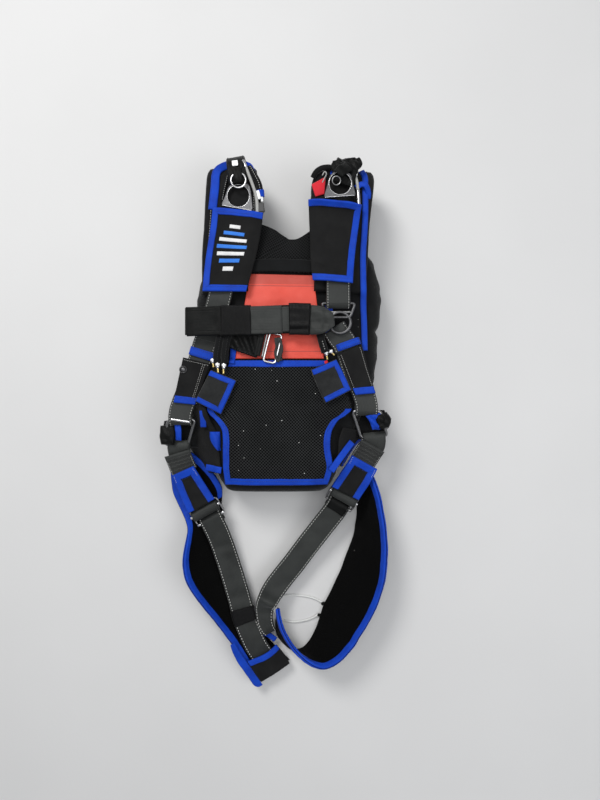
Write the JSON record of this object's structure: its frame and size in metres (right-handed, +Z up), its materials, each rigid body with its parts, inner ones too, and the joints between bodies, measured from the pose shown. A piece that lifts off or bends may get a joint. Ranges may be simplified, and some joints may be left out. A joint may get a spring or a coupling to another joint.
{
  "type": "packed sport parachute with harness",
  "caption": "Packed sport parachute: black container with blue binding, lying back pad up with harness, rings and leg straps laid out",
  "frame": {"origin": "centre of the container's flat underside, on the floor it rests on", "axes": "+Z up off the floor, +Y towards the shoulders, +X to the viewer's right when seen from above with the shoulders at the top"},
  "size_m": [0.3971, 0.9611, 0.1404],
  "materials": {
    "black_cloth": "woven nylon, matt",
    "spacer_mesh": "open spacer mesh, matt",
    "webbing": "flat woven nylon webbing",
    "blue_tape": "grosgrain binding tape",
    "panel_red": "smooth coated cloth",
    "tab_red": "matt cloth",
    "steel": "plated forged steel",
    "white_elastic": "braided elastic"
  },
  "bodies": {
    "root": {"container": "black_cloth", "wing_left": "black_cloth", "wing_right": "black_cloth", "shoulder_pad_left": "black_cloth", "shoulder_pad_right": "black_cloth", "mud_flap_left": "black_cloth", "mud_flap_right": "black_cloth", "pocket_left": "black_cloth", "pocket_right": "black_cloth", "handle_left": "black_cloth", "handle_right": "black_cloth", "hip_panel_left": "black_cloth", "hip_panel_right": "black_cloth", "chest_keeper_left": "black_cloth", "chest_keeper_right": "black_cloth", "strap_keeper": "black_cloth", "strap_pocket": "black_cloth", "back_pad": "spacer_mesh", "yoke_pad": "spacer_mesh", "leg_pad_left": "spacer_mesh", "leg_pad_right": "spacer_mesh", "main_lift_web_left": "webbing", "main_lift_web_right": "webbing", "lower_lift_web_right": "webbing", "chest_strap": "webbing", "chest_tail": "webbing", "leg_hanger_left": "webbing", "leg_hanger_right": "webbing", "leg_strap_left": "webbing", "leg_strap_right": "webbing", "riser_left": "webbing", "riser_right": "webbing", "back_pad_binding": "blue_tape", "wing_right_binding": "blue_tape", "shoulder_binding_left": "blue_tape", "shoulder_binding_right": "blue_tape", "mud_flap_binding_left": "blue_tape", "mud_flap_binding_right": "blue_tape", "pocket_binding_left": "blue_tape", "pocket_binding_right": "blue_tape", "handle_binding_left": "blue_tape", "handle_binding_right": "blue_tape", "hip_panel_binding_left": "blue_tape", "hip_panel_binding_right": "blue_tape", "leg_pad_binding_left": "blue_tape", "leg_pad_binding_right": "blue_tape", "strap_pocket_binding": "blue_tape", "label_panel": "panel_red", "red_tab": "tab_red", "harness_ring_left": "steel", "harness_ring_right": "steel", "riser_ring_left": "steel", "riser_ring_right": "steel", "chest_ring": "steel", "chest_adapter": "steel", "hip_ring_left": "steel", "hip_ring_right": "steel", "leg_adapter_left": "steel", "leg_adapter_right": "steel", "elastic_loop": "white_elastic"}
  },
  "joints": []
}
